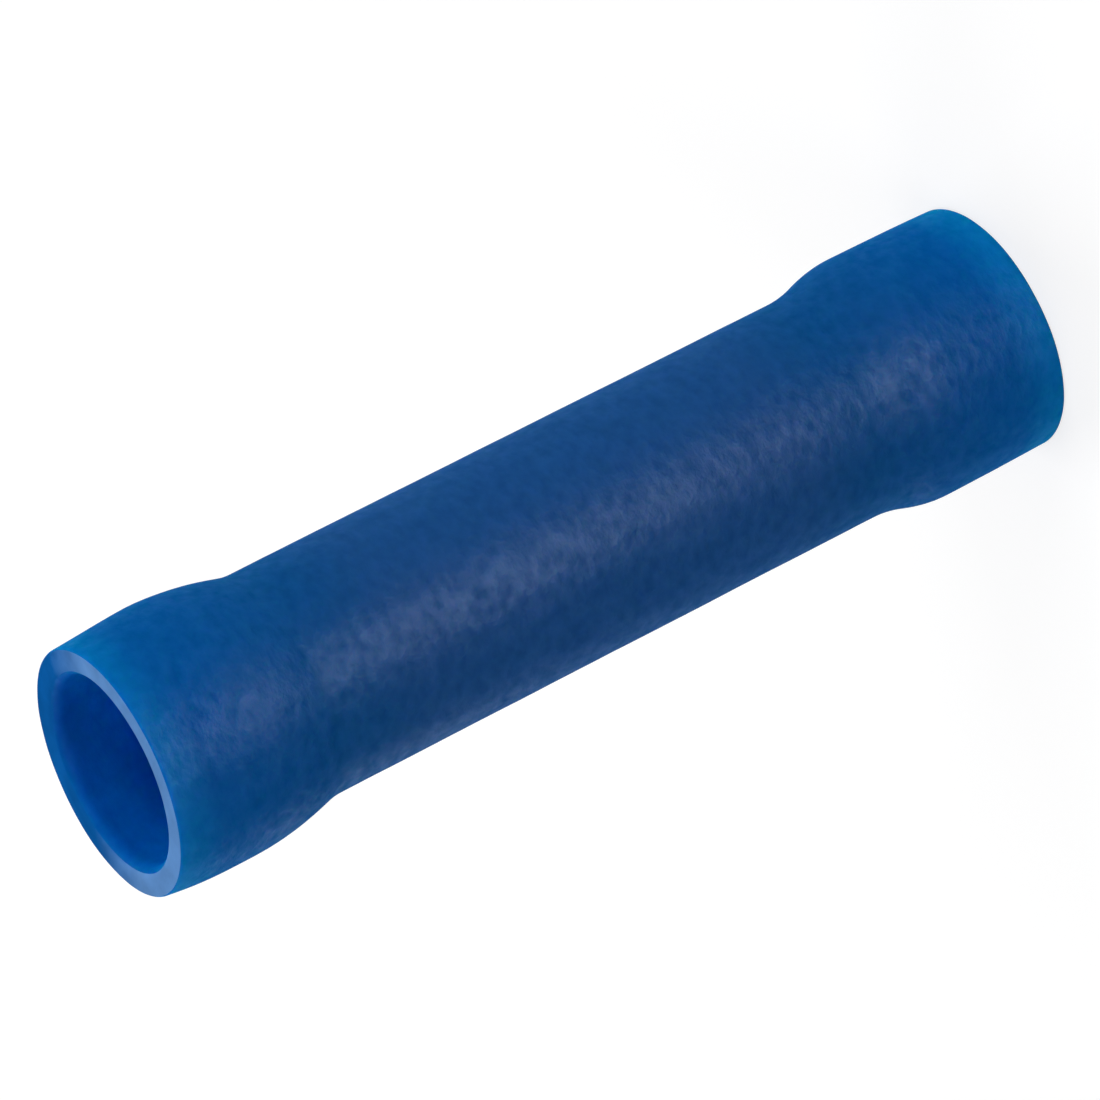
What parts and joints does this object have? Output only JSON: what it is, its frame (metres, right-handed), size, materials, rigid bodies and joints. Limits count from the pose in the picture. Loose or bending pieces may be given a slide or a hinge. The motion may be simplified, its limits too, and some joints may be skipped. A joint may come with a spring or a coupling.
{
  "type": "butt splice connector",
  "caption": "Insulated butt splice connector: a blue vinyl sleeve with flared mouths round a tinned copper crimp barrel that joins stripped wires end to end.",
  "frame": {"origin": "centre of the lower rim, on the surface the connector stands on", "axes": "+Z along the axis of the sleeve and barrel, from the lower rim to the upper rim; X and Y are across it"},
  "size_m": [0.0066, 0.0066, 0.026],
  "materials": {
    "sleeve_vinyl": "satin moulded vinyl, blue",
    "barrel_tinned_copper": "tin-plated copper tube, satin"
  },
  "bodies": {
    "root": {"insulating_sleeve": "sleeve_vinyl", "crimp_barrel": "barrel_tinned_copper"}
  },
  "joints": []
}
